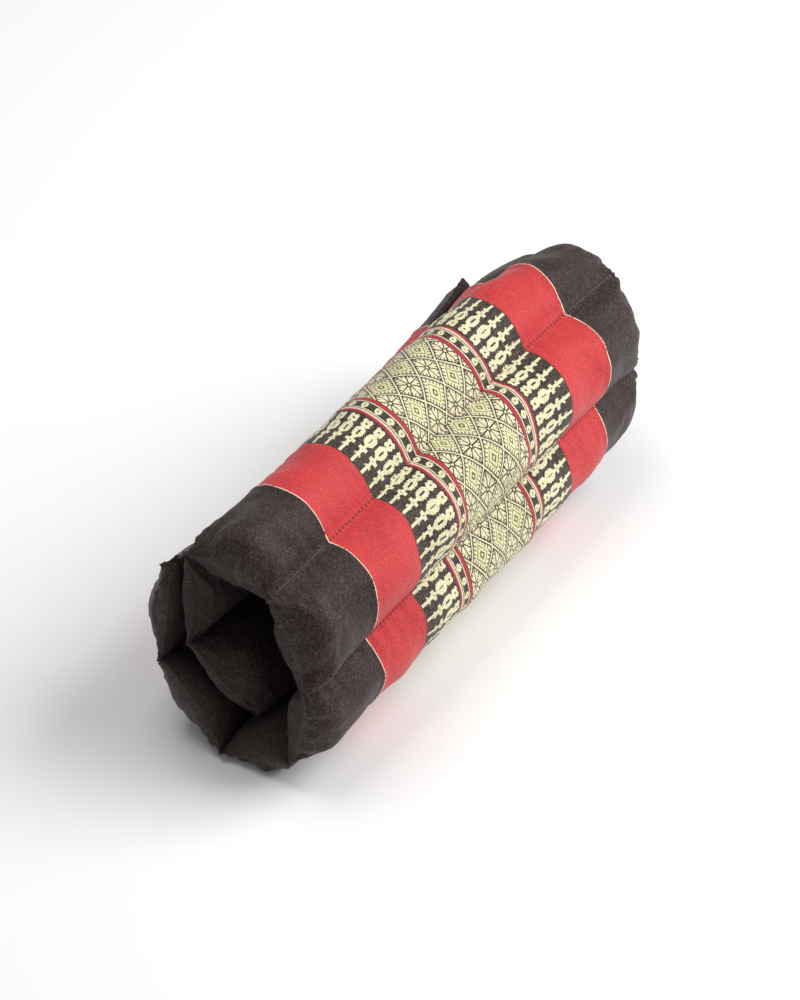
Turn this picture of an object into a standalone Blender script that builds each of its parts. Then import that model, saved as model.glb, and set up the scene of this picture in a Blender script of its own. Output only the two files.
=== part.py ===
"""A quilted meditation mat, rolled up and lying on its side.

The mat is one filled cloth body, sewn into eight channels that run across it. It is rolled up along its
length, so the channels lie side by side around an open middle: six of them make the outer turn and the
last two go round inside. A narrow flat piping is set into the seam between the woven middle of the cover
and each of its plain end panels.

X runs along the roll, towards its near end. Y points to the right, seen from the near end. Z is up, and
the roll rests on z = 0. Lengths are in metres.
"""

import math
from typing import NamedTuple

import bmesh
import bpy
from mathutils import Vector

# The mat
MAT_WIDTH = 0.500
HALF_WIDTH = MAT_WIDTH / 2
SEAM_THICKNESS = 0.0032
END_CLOSING = 0.042
END_ROUNDNESS = 2.2
END_PULL_POWER = 2.6
CHANNEL_STEPS = 7
CROWDING_SHARE = 0.9
CROWDING_BLEND = 0.002
FREE_EDGE_SLOPE = 6.0
FAR_SWELL_START = 0.060
FAR_SWELL_REACH = 0.140

# The piping, and the sunk seam that holds it
PIPING_PLACE = 0.1742
PIPING_WIDTH = 0.0028
PIPING_THICKNESS = 0.0006
PIPING_BELOW_CLOTH = 0.0002
PIECE_GAP = 0.0004
SUNK_DEPTH = PIPING_BELOW_CLOTH + PIPING_THICKNESS + PIECE_GAP
SUNK_HALF_WIDTH = PIPING_WIDTH / 2 + 0.0006
SUNK_SLOPE_WIDTH = 0.0010

# Distances of the sections from the middle of the mat, apart from those at the piping
BODY_STATIONS = (0.0, 0.035, 0.070, 0.105, 0.140)
END_STATIONS = (0.195, 0.208, 0.217, 0.225, 0.232, 0.238, 0.243, 0.2468, 0.2490, HALF_WIDTH)


class SeamRow(NamedTuple):
    """A sewn line or free edge: its place at three sections, and how far it has slid along the roll."""

    name: str
    near_y: float
    near_z: float
    mid_y: float
    mid_z: float
    far_y: float
    far_z: float
    near_slide: float
    far_slide: float


class ChannelRow(NamedTuple):
    """A stuffed channel between two sewn lines: how far it swells to each side of its chord.

    The last value is how far it swells outward by the far end of the roll.
    """

    name: str
    outward: float
    inward: float
    far_outward: float


class Finish(NamedTuple):
    """A plain surface finish."""

    name: str
    colour: tuple
    roughness: float


# From the outer free edge round to the inner one, anticlockwise as seen from the near end
SEAMS = (
    SeamRow("outer_edge", -0.073, 0.174, -0.081, 0.135, -0.092, 0.140, 0.014, 0.037),
    SeamRow("left_low", -0.075, 0.082, -0.095, 0.054, -0.079, 0.066, 0.024, 0.031),
    SeamRow("bottom", -0.018, 0.009, -0.025, 0.010, -0.033, 0.007, 0.024, 0.030),
    SeamRow("right_low", 0.046, 0.021, 0.053, 0.039, 0.033, 0.039, 0.028, 0.032),
    SeamRow("right_high", 0.058, 0.101, 0.070, 0.119, 0.063, 0.106, 0.017, 0.020),
    SeamRow("top", 0.016, 0.171, 0.024, 0.182, 0.029, 0.175, 0.001, 0.000),
    SeamRow("left_high", -0.061, 0.183, -0.059, 0.177, -0.034, 0.168, 0.003, -0.018),
    SeamRow("inner_turn", -0.054, 0.102, -0.048, 0.095, -0.048, 0.078, 0.014, -0.020),
    SeamRow("inner_edge", 0.001, 0.039, 0.026, 0.059, 0.027, 0.061, 0.014, -0.021),
)

CHANNELS = (
    ChannelRow("outer_flap", 0.022, 0.008, 0.022),
    ChannelRow("lower_left", 0.030, 0.016, 0.030),
    ChannelRow("floor", 0.023, 0.016, 0.023),
    ChannelRow("lower_right", 0.026, 0.018, 0.026),
    ChannelRow("upper_right", 0.030, 0.019, 0.030),
    ChannelRow("crest", 0.033, 0.019, 0.027),
    ChannelRow("inner_left", 0.013, 0.018, 0.031),
    ChannelRow("inner_floor", 0.014, 0.018, 0.014),
)

CHARCOAL_COTTON = Finish("charcoal_cotton", (0.030, 0.024, 0.024, 1.0), 0.85)
CREAM_COTTON = Finish("cream_cotton", (0.80, 0.66, 0.50, 1.0), 0.80)


def clear_scene():
    """Removes every object that the scene starts with."""
    for thing in list(bpy.data.objects):
        bpy.data.objects.remove(thing, do_unlink=True)


def make_material(finish):
    """Returns a Principled material for a finish."""
    material = bpy.data.materials.new(finish.name)
    material.use_nodes = True
    shader = material.node_tree.nodes["Principled BSDF"]
    shader.inputs["Base Color"].default_value = finish.colour
    shader.inputs["Roughness"].default_value = finish.roughness
    shader.inputs["Metallic"].default_value = 0.0
    material.diffuse_color = finish.colour
    return material


def soft_min(first, second, blend):
    """Returns the smaller of two lengths, rounded off where they are alike."""
    spread = math.hypot(first - second, blend)
    return (first + second - spread) / 2


def fullness(station):
    """Returns the share of a channel's thickness left at a station: 1 in the middle, 0 at the ends."""
    into_end = (abs(station) - (HALF_WIDTH - END_CLOSING)) / END_CLOSING
    if into_end <= 0:
        return 1.0
    return math.sqrt(max(1.0 - into_end ** END_ROUNDNESS, 0.0))


def seam_point(row, station):
    """Returns the point of a sewn line at a station, measured across the mat from its middle."""
    along = station / HALF_WIDTH
    pull = abs(along) ** END_PULL_POWER
    end_y, end_z = (row.near_y, row.near_z) if along > 0 else (row.far_y, row.far_z)
    slide = row.near_slide * (1 + along) / 2 + row.far_slide * (1 - along) / 2
    y = row.mid_y + (end_y - row.mid_y) * pull
    z = row.mid_z + (end_z - row.mid_z) * pull
    return Vector((station + slide, y, z))


def normal_out(step):
    """Returns the unit normal in the YZ plane that points out of the roll, for a step along the mat."""
    return Vector((0.0, step.z, -step.y)).normalized()


def arc_height(share, chord, crown):
    """Returns the height of a circular arc over its chord, at a share of the chord."""
    if crown < 1e-6:
        return 0.0
    radius = (chord ** 2 / 4 + crown ** 2) / (2 * crown)
    off_middle = (share - 0.5) * chord
    return math.sqrt(max(radius ** 2 - off_middle ** 2, 0.0)) - (radius - crown)


def crowding_slope(before, after):
    """Returns how steeply two neighbours may rise at their seam before they press on each other."""
    turn = math.atan2(before.y * after.z - before.z * after.y, before.y * after.y + before.z * after.z)
    half_angle = min(max((math.pi - turn) / 2, 0.2), 1.45)
    return math.tan(half_angle) * CROWDING_SHARE


def outward_crown(channel, station):
    """Returns how far a channel swells outward at a station, before its ends close."""
    share = min(max((-station - FAR_SWELL_START) / FAR_SWELL_REACH, 0.0), 1.0)
    share = share * share * (3 - 2 * share)
    return channel.outward + (channel.far_outward - channel.outward) * share


def channel_shares():
    """Returns the shares of the chord at which a channel is cut, closer together near its seams."""
    shares = []
    for step in range(CHANNEL_STEPS + 1):
        even = step / CHANNEL_STEPS
        bunched = (1 - math.cos(math.pi * even)) / 2
        shares.append((even + bunched) / 2)
    return shares


def mat_section(station):
    """Returns the outer and inner points of the mat at a station, from the outer free edge inwards."""
    seams = [seam_point(row, station) for row in SEAMS]
    chords = [after - before for before, after in zip(seams, seams[1:])]
    normals = [normal_out(chord) for chord in chords]
    slopes = [crowding_slope(before, after) for before, after in zip(chords, chords[1:])]
    slopes = [FREE_EDGE_SLOPE] + slopes + [FREE_EDGE_SLOPE]
    half = SEAM_THICKNESS / 2
    full = fullness(station)
    outer = []
    inner = []
    for index, channel in enumerate(CHANNELS):
        seam_normal = (normals[max(index - 1, 0)] + normals[index]).normalized()
        outer.append(seams[index] + seam_normal * half)
        inner.append(seams[index] - seam_normal * half)
        length = math.hypot(chords[index].y, chords[index].z)
        for share in channel_shares()[1:-1]:
            base = seams[index] + chords[index] * share
            rise = arc_height(share, length, outward_crown(channel, station) * full)
            dip = arc_height(share, length, channel.inward * full)
            dip = soft_min(dip, share * length * slopes[index], CROWDING_BLEND)
            dip = soft_min(dip, (1 - share) * length * slopes[index + 1], CROWDING_BLEND)
            outer.append(base + normals[index] * (half + rise))
            inner.append(base - normals[index] * (half + max(dip, 0.0)))
    outer.append(seams[-1] + normals[-1] * half)
    inner.append(seams[-1] - normals[-1] * half)
    return outer, inner


def inset(points, depth):
    """Returns a section's outer points moved in by a depth, square to the cloth."""
    steps = [normal_out(after - before) for before, after in zip(points, points[1:])]
    moved = []
    for index, point in enumerate(points):
        before = steps[max(index - 1, 0)]
        after = steps[min(index, len(steps) - 1)]
        middle = (before + after).normalized()
        moved.append(point - middle * (depth / max(middle.dot(after), 0.5)))
    return moved


def raised(points, lowest):
    """Returns points with none of them lower than a height."""
    return [Vector((point.x, point.y, max(point.z, lowest))) for point in points]


def mat_ring(station, sunk):
    """Returns the mat's closed outline at a station, with its outer side sunk by a depth."""
    outer, inner = mat_section(station)
    if sunk:
        outer = inset(outer, sunk)
    outer = raised(outer, sunk)
    inner = raised(inner, SEAM_THICKNESS)
    return outer, inner


def piping_ring(station):
    """Returns the piping's closed outline at a station."""
    cloth, _ = mat_section(station)
    outer = raised(inset(cloth, PIPING_BELOW_CLOTH), PIPING_BELOW_CLOTH)
    lower = PIPING_BELOW_CLOTH + PIPING_THICKNESS
    inner = raised(inset(cloth, lower), lower)
    return outer, inner


def mat_stations():
    """Returns the stations of the mat's sections with the depth that each is sunk to, near end last."""
    bottom = SUNK_HALF_WIDTH
    top = SUNK_HALF_WIDTH + SUNK_SLOPE_WIDTH
    half = [(place, 0.0) for place in BODY_STATIONS]
    half += [(PIPING_PLACE - top, 0.0), (PIPING_PLACE - bottom, SUNK_DEPTH)]
    half += [(PIPING_PLACE + bottom, SUNK_DEPTH), (PIPING_PLACE + top, 0.0)]
    half += [(place, 0.0) for place in END_STATIONS]
    far = [(-place, sunk) for place, sunk in reversed(half[1:])]
    return far + half


def make_skin(name, rings, material):
    """Builds one closed body from sections, each a pair of outer and inner point rows."""
    mesh = bpy.data.meshes.new(name)
    body = bmesh.new()
    loops = []
    for outer, inner in rings:
        loops.append([body.verts.new(point) for point in outer + inner[::-1]])
    count = len(loops[0])
    for before, after in zip(loops, loops[1:]):
        for index in range(count):
            follow = (index + 1) % count
            body.faces.new((before[index], before[follow], after[follow], after[index]))
    for end in (loops[0], loops[-1]):
        for index in range(count // 2 - 1):
            body.faces.new((end[index], end[index + 1], end[count - 2 - index], end[count - 1 - index]))
    bmesh.ops.recalc_face_normals(body, faces=body.faces)
    bmesh.ops.triangulate(body, faces=body.faces)
    body.to_mesh(mesh)
    body.free()
    mesh.shade_smooth()
    mesh.set_sharp_from_angle(angle=math.radians(50))
    mesh.materials.append(material)
    thing = bpy.data.objects.new(name, mesh)
    bpy.context.scene.collection.objects.link(thing)
    return thing


def middle_of(rings):
    """Returns the middle of the sections' bounding box, on the table."""
    points = [point for outer, inner in rings for point in outer + inner]
    x = (min(point.x for point in points) + max(point.x for point in points)) / 2
    y = (min(point.y for point in points) + max(point.y for point in points)) / 2
    return Vector((x, y, 0.0))


def centred(rings, middle):
    """Returns sections moved so that a point comes to the origin."""
    moved = []
    for outer, inner in rings:
        moved.append(([point - middle for point in outer], [point - middle for point in inner]))
    return moved


def build():
    """Builds the mat and its two lines of piping."""
    clear_scene()
    charcoal = make_material(CHARCOAL_COTTON)
    cream = make_material(CREAM_COTTON)
    mat_rings = [mat_ring(station, sunk) for station, sunk in mat_stations()]
    middle = middle_of(mat_rings)
    make_skin("mat", centred(mat_rings, middle), charcoal)
    for name, place in (("piping_near", PIPING_PLACE), ("piping_far", -PIPING_PLACE)):
        edges = (place - PIPING_WIDTH / 2, place + PIPING_WIDTH / 2)
        rings = [piping_ring(edge) for edge in edges]
        make_skin(name, centred(rings, middle), cream)


build()
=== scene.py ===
"""Dresses the rolled meditation mat: its quilted cover, woven pattern, piping and stitches.

X runs along the roll towards its near end, Y points to the right seen from that end, and Z is up.
Lengths are in metres. The cloth's own coordinates run along the mat, from its outer free edge, and
across it, from its middle line.
"""

import logging
import math
from dataclasses import dataclass, field
from enum import Enum
from typing import Callable, Optional, Sequence, Union

import bpy
import numpy as np
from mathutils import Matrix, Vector


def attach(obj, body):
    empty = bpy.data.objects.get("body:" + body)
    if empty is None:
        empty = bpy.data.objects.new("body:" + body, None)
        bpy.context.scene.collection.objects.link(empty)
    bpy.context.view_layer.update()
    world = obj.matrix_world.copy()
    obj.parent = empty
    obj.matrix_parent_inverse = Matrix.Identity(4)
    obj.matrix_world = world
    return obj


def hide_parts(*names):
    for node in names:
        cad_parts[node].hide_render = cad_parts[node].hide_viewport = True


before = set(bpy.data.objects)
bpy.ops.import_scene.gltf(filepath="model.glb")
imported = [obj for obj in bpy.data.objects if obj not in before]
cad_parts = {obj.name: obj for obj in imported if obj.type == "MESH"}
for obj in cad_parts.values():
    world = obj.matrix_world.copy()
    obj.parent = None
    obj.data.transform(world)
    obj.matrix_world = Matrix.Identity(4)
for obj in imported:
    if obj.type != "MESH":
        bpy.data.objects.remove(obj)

LOG = logging.getLogger("rolled_mat")
CLOTH_UV = "cloth"
SEAM_UV = "seam"
STITCH_PITCH = 4.4
STITCH_START = 244.0
ROOT = "root"
FIBRE_ROUGHNESS = 0.5
GLOSS = 0.34
GLOSS_TINT = (1.0, 0.82, 0.78, 1.0)
RELIEF_STRENGTH = 0.8

Number = Union[float, "Wire"]


class Side(Enum):
    """The two faces of the mat."""

    OUTER = 1
    INNER = -1


class End(Enum):
    """The two ends of the roll, with the sign of X there."""

    NEAR = 1
    FAR = -1


@dataclass(frozen=True)
class SeamRow:
    """A sewn line or free edge: its place at three sections, and how far it has slid along the roll."""

    name: str
    near: tuple[float, float]
    mid: tuple[float, float]
    far: tuple[float, float]
    near_slide: float
    far_slide: float


@dataclass(frozen=True)
class ChannelRow:
    """A stuffed channel between two sewn lines: how far it swells to each side of its chord, and
    over what length its far end closes."""

    name: str
    outward: float
    inward: float
    far_outward: float
    far_closing: float


@dataclass(frozen=True)
class FoldRow:
    """A soft fold in a channel's cover near an end."""

    channel: int
    share: float
    end: End
    reach: float
    width: float
    height: float
    lean: float
    side: Side = Side.OUTER


SEAMS = (
    SeamRow("outer_edge", (-0.073, 0.174), (-0.081, 0.135), (-0.099, 0.141), 0.014, 0.031),
    SeamRow("left_low", (-0.075, 0.082), (-0.095, 0.054), (-0.079, 0.066), 0.024, 0.031),
    SeamRow("bottom", (-0.018, 0.009), (-0.025, 0.010), (-0.033, 0.007), 0.024, 0.030),
    SeamRow("right_low", (0.046, 0.026), (0.053, 0.039), (0.033, 0.039), 0.022, 0.032),
    SeamRow("right_high", (0.058, 0.101), (0.070, 0.119), (0.063, 0.106), 0.017, 0.020),
    SeamRow("top", (0.016, 0.171), (0.024, 0.182), (0.029, 0.175), 0.001, 0.000),
    SeamRow("left_high", (-0.061, 0.183), (-0.059, 0.177), (-0.012, 0.155), 0.003, -0.018),
    SeamRow("inner_turn", (-0.054, 0.102), (-0.048, 0.095), (-0.052, 0.080), 0.014, -0.020),
    SeamRow("inner_edge", (0.001, 0.039), (0.026, 0.059), (0.027, 0.061), 0.014, -0.021),
)

CHANNELS = (
    ChannelRow("outer_flap", 0.022, 0.008, 0.022, 0.026),
    ChannelRow("lower_left", 0.030, 0.016, 0.030, 0.026),
    ChannelRow("floor", 0.023, 0.016, 0.023, 0.026),
    ChannelRow("lower_right", 0.026, 0.018, 0.026, 0.030),
    ChannelRow("upper_right", 0.030, 0.019, 0.030, 0.036),
    ChannelRow("crest", 0.033, 0.019, 0.035, 0.040),
    ChannelRow("inner_left", 0.013, 0.018, 0.043, 0.016),
    ChannelRow("inner_floor", 0.014, 0.018, 0.014, 0.026),
)

FOLDS = (
    FoldRow(2, 0.50, End.NEAR, 0.045, 0.007, -0.0050, 0.10),
    FoldRow(4, 0.10, End.NEAR, 0.030, 0.006, -0.0040, 0.25),
    FoldRow(4, 0.92, End.NEAR, 0.040, 0.007, 0.0022, -0.20),
    FoldRow(5, 0.08, End.NEAR, 0.050, 0.007, -0.0025, 0.30),
    FoldRow(5, 0.93, End.NEAR, 0.045, 0.006, -0.0040, -0.25),
    FoldRow(5, 0.80, End.NEAR, 0.035, 0.006, 0.0020, -0.25),
    FoldRow(5, 0.17, End.NEAR, 0.042, 0.011, 0.0042, 0.15),
    FoldRow(5, 0.38, End.NEAR, 0.038, 0.013, -0.0034, 0.20),
    FoldRow(4, 0.15, End.NEAR, 0.024, 0.0055, -0.0055, 0.15),
    FoldRow(4, 0.27, End.NEAR, 0.022, 0.006, 0.0030, 0.15),
    FoldRow(3, 0.78, End.NEAR, 0.030, 0.008, -0.0035, -0.10),
    FoldRow(5, 0.22, End.FAR, 0.050, 0.006, -0.0026, 0.25),
    FoldRow(5, 0.33, End.FAR, 0.045, 0.006, -0.0022, 0.22),
    FoldRow(3, 0.90, End.NEAR, 0.040, 0.007, -0.0030, -0.25),
    FoldRow(3, 0.35, End.NEAR, 0.030, 0.007, -0.0020, 0.20),
    FoldRow(0, 0.12, End.NEAR, 0.035, 0.006, -0.0030, 0.40),
    FoldRow(5, 0.10, End.FAR, 0.050, 0.006, -0.0035, 0.25),
    FoldRow(4, 0.90, End.FAR, 0.045, 0.006, -0.0035, -0.25),
    FoldRow(4, 0.12, End.FAR, 0.035, 0.006, -0.0035, 0.25),
    FoldRow(3, 0.85, End.FAR, 0.040, 0.007, -0.0035, -0.25),
    FoldRow(6, 0.55, End.FAR, 0.045, 0.007, -0.0060, 0.10),
    FoldRow(1, 0.85, End.NEAR, 0.040, 0.007, -0.0030, -0.25),
    FoldRow(1, 0.15, End.FAR, 0.040, 0.007, -0.0030, 0.25),
)


@dataclass
class Ripple:
    """A smooth, seeded, uneven line of rises and dips between about -1 and 1."""

    seed: int
    wavelength: float
    spread: float = 0.5
    parts: int = 7

    def at(self, place: np.ndarray, drift: Union[float, np.ndarray] = 0.0) -> np.ndarray:
        """Gives the ripple's height.

        Args:
            place: Distances along the line.
            drift: A slow second coordinate that changes the ripple's shape.

        Returns:
            The heights.
        """
        random = np.random.default_rng(self.seed)
        total = np.zeros(np.broadcast(place, drift).shape)
        for _ in range(self.parts):
            length = self.wavelength * (1 + self.spread * random.uniform(-1, 1))
            phase = random.uniform(0, math.tau)
            turn = random.uniform(-1, 1)
            total += np.sin(math.tau * place / length + phase + turn * drift)
        return total / math.sqrt(self.parts)


@dataclass
class RollShape:
    """The rolled mat's form, worked out from its seam and channel tables."""

    seams: Sequence[SeamRow] = SEAMS
    channels: Sequence[ChannelRow] = CHANNELS
    width: float = 0.500
    middle: tuple[float, float] = (0.0035, -0.011263)
    seam_thickness: float = 0.0032
    edge_thickness: float = 0.0022
    end_closing: float = 0.026
    end_roundness: float = 2.15
    end_fullness: float = 0.05
    end_pull_power: float = 2.6
    crowding_share: float = 0.9
    crowding_blend: float = 0.002
    seam_angles: tuple[float, float] = (0.2, 1.45)
    free_edge_slope: float = 6.0
    far_swell_start: float = 0.060
    far_swell_reach: float = 0.140

    @property
    def half(self) -> float:
        """Half of the mat's width."""
        return self.width / 2

    def seam_line(self, index: int, stations: np.ndarray) -> np.ndarray:
        """Gives a sewn line's points.

        Args:
            index: The line's row in the seam table.
            stations: Distances across the mat from its middle.

        Returns:
            One point for each station.
        """
        row = self.seams[index]
        along = stations / self.half
        pull = (np.abs(along) ** self.end_pull_power)[:, None]
        end = np.where((along > 0)[:, None], np.array(row.near), np.array(row.far))
        place = np.array(row.mid) * (1 - pull) + end * pull
        slide = row.near_slide * (1 + along) / 2 + row.far_slide * (1 - along) / 2
        points = np.column_stack([stations + slide, place])
        return points - np.array([self.middle[0], self.middle[1], 0.0])

    def fullness(self, stations: np.ndarray, far_closing: float) -> np.ndarray:
        """Gives the share of a channel's thickness left at each station.

        Args:
            stations: Distances across the mat from its middle.
            far_closing: Over what length the far end closes.

        Returns:
            A share for each station, from the least at the sewn ends to 1.
        """
        closing = np.where(stations > 0, self.end_closing, far_closing)
        into_end = (np.abs(stations) - (self.half - closing)) / closing
        rounded = np.sqrt(np.maximum(1 - np.clip(into_end, 0, 1) ** self.end_roundness, 0))
        return self.end_fullness + (1 - self.end_fullness) * rounded

    def outward_crown(self, channel: ChannelRow, stations: np.ndarray) -> np.ndarray:
        """Gives how far a channel swells outward at each station, before its ends close.

        Args:
            channel: The channel's row.
            stations: Distances across the mat from its middle.

        Returns:
            A height for each station.
        """
        share = np.clip((-stations - self.far_swell_start) / self.far_swell_reach, 0, 1)
        share = share * share * (3 - 2 * share)
        return channel.outward + (channel.far_outward - channel.outward) * share

    @staticmethod
    def arc(share: float, chord: np.ndarray, crown: np.ndarray) -> np.ndarray:
        """Gives the height of circular arcs over their chords.

        Args:
            share: The place along each chord, from 0 to 1.
            chord: The chords' lengths.
            crown: The arcs' heights at their middle.

        Returns:
            A height for each chord.
        """
        crown = np.maximum(crown, 1e-6)
        radius = (chord ** 2 / 4 + crown ** 2) / (2 * crown)
        off_middle = (share - 0.5) * chord
        return np.sqrt(np.maximum(radius ** 2 - off_middle ** 2, 0)) - (radius - crown)

    @staticmethod
    def soft_min(first: np.ndarray, second: np.ndarray, blend: float) -> np.ndarray:
        """Gives the smaller of two lengths, rounded off where they are alike."""
        return (first + second - np.hypot(first - second, blend)) / 2

    def crowding_slopes(self, chords: Sequence[np.ndarray]) -> list[Union[float, np.ndarray]]:
        """Gives how steeply the inner side may rise from each seam before neighbours press together.

        Args:
            chords: Each channel's line from seam to seam at every station.

        Returns:
            A slope for each seam and free edge.
        """
        slopes: list[Union[float, np.ndarray]] = [self.free_edge_slope]
        for before, after in zip(chords, chords[1:]):
            cross = before[:, 1] * after[:, 2] - before[:, 2] * after[:, 1]
            dot = before[:, 1] * after[:, 1] + before[:, 2] * after[:, 2]
            half_angle = np.clip((math.pi - np.arctan2(cross, dot)) / 2, *self.seam_angles)
            slopes.append(np.tan(half_angle) * self.crowding_share)
        return slopes + [self.free_edge_slope]

    def surfaces(self, stations: np.ndarray, shares: Sequence[float]) -> tuple[np.ndarray, np.ndarray]:
        """Gives both faces of the mat as grids of points.

        Args:
            stations: Distances across the mat from its middle.
            shares: Shares of each channel's chord, from 0 to 1.

        Returns:
            The outer and the inner grid, with a row for each station.
        """
        seams = [self.seam_line(index, stations) for index in range(len(self.seams))]
        chords = [after - before for before, after in zip(seams, seams[1:])]
        lengths = [np.hypot(chord[:, 1], chord[:, 2]) for chord in chords]
        normals = []
        for chord, length in zip(chords, lengths):
            zero = np.zeros_like(length)
            normals.append(np.column_stack([zero, chord[:, 2] / length, -chord[:, 1] / length]))
        slopes = self.crowding_slopes(chords)
        seam_full = self.fullness(stations, self.end_closing)
        half_seam = (self.edge_thickness + (self.seam_thickness - self.edge_thickness) * seam_full) / 2
        outer, inner = [], []
        last = len(self.channels) - 1
        for index, channel in enumerate(self.channels):
            full = self.fullness(stations, channel.far_closing)
            for share in shares[:-1] if index < last else shares:
                at_seam = share in (0.0, 1.0)
                normal = normals[index]
                if share == 0.0 and index > 0:
                    normal = normals[index - 1] + normals[index]
                    normal = normal / np.linalg.norm(normal, axis=1)[:, None]
                base = seams[index] + chords[index] * share
                rise = self.arc(share, lengths[index], self.outward_crown(channel, stations) * full)
                dip = self.arc(share, lengths[index], channel.inward * full)
                behind, ahead = share * lengths[index], (1 - share) * lengths[index]
                dip = self.soft_min(dip, behind * slopes[index], self.crowding_blend)
                dip = self.soft_min(dip, ahead * slopes[index + 1], self.crowding_blend)
                swell = 0.0 if at_seam else 1.0
                outer.append(base + normal * (half_seam + rise * swell)[:, None])
                inner.append(base - normal * (half_seam + np.maximum(dip, 0) * swell)[:, None])
        return np.stack(outer, 1), np.stack(inner, 1)


@dataclass
class Wire:
    """A number socket in a node tree that can be used in plain arithmetic."""

    tree: bpy.types.NodeTree
    socket: bpy.types.NodeSocket

    def math(self, operation: str, *others: Number) -> "Wire":
        """Adds a Math node.

        Args:
            operation: The node's operation.
            others: Its other inputs.

        Returns:
            The node's result.
        """
        node = self.tree.nodes.new("ShaderNodeMath")
        node.operation = operation
        for slot, value in zip(node.inputs, (self, *others)):
            if isinstance(value, Wire):
                self.tree.links.new(value.socket, slot)
            else:
                slot.default_value = value
        return Wire(self.tree, node.outputs[0])

    def __add__(self, other: Number) -> "Wire":
        """Adds."""
        return self.math("ADD", other)

    def __sub__(self, other: Number) -> "Wire":
        """Subtracts."""
        return self.math("SUBTRACT", other)

    def __mul__(self, other: Number) -> "Wire":
        """Multiplies."""
        return self.math("MULTIPLY", other)

    def __truediv__(self, other: Number) -> "Wire":
        """Divides."""
        return self.math("DIVIDE", other)

    def __neg__(self) -> "Wire":
        """Turns the sign."""
        return self.math("MULTIPLY", -1.0)

    def __abs__(self) -> "Wire":
        """Drops the sign."""
        return self.math("ABSOLUTE")

    def below(self, limit: Number) -> "Wire":
        """Is 1 where the value is under a limit, else 0."""
        return self.math("LESS_THAN", limit)

    def above(self, limit: Number) -> "Wire":
        """Is 1 where the value is over a limit, else 0."""
        return self.math("GREATER_THAN", limit)

    def between(self, low: Number, high: Number) -> "Wire":
        """Is 1 where the value is between two limits, else 0."""
        return self.above(low) * self.below(high)

    def least(self, other: Number) -> "Wire":
        """Is the smaller of two values."""
        return self.math("MINIMUM", other)

    def most(self, other: Number) -> "Wire":
        """Is the larger of two values."""
        return self.math("MAXIMUM", other)

    def wrapped(self, period: float) -> "Wire":
        """Folds the value into a repeat centred on 0, from minus half a period to half a period."""
        return self.math("WRAP", -period / 2, period / 2)

    def stepped(self, cell: float) -> "Wire":
        """Snaps the value to the middle of thread cells."""
        return ((self / cell).math("FLOOR") + 0.5) * cell

    def root(self) -> "Wire":
        """Takes the square root."""
        return self.math("SQRT")


@dataclass
class Pattern:
    """A shader node group that works out masks from the cloth's own coordinates, in millimetres."""

    name: str
    outputs: Sequence[str]
    rule: Callable[[Wire, Wire], dict[str, Wire]]
    tree: Optional[bpy.types.NodeTree] = None

    def build(self) -> bpy.types.NodeTree:
        """Makes the group once.

        Returns:
            The group's node tree.
        """
        if self.tree is None:
            tree = bpy.data.node_groups.new(self.name, "ShaderNodeTree")
            for name in ("along", "across"):
                tree.interface.new_socket(name, in_out="INPUT", socket_type="NodeSocketFloat")
            for name in self.outputs:
                tree.interface.new_socket(name, in_out="OUTPUT", socket_type="NodeSocketFloat")
            source = tree.nodes.new("NodeGroupInput")
            sink = tree.nodes.new("NodeGroupOutput")
            along, across = (Wire(tree, source.outputs[name]) for name in ("along", "across"))
            for name, value in self.rule(along, across).items():
                tree.links.new(value.socket, sink.inputs[name])
            self.tree = tree
        return self.tree

    def use(self, along: Wire, across: Wire) -> dict[str, Wire]:
        """Puts the group into a material.

        Args:
            along: Distance along the mat.
            across: Distance from the mat's middle line.

        Returns:
            The group's outputs by name.
        """
        node = along.tree.nodes.new("ShaderNodeGroup")
        node.node_tree = self.build()
        along.tree.links.new(along.socket, node.inputs["along"])
        along.tree.links.new(across.socket, node.inputs["across"])
        return {name: Wire(along.tree, node.outputs[name]) for name in self.outputs}


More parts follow.
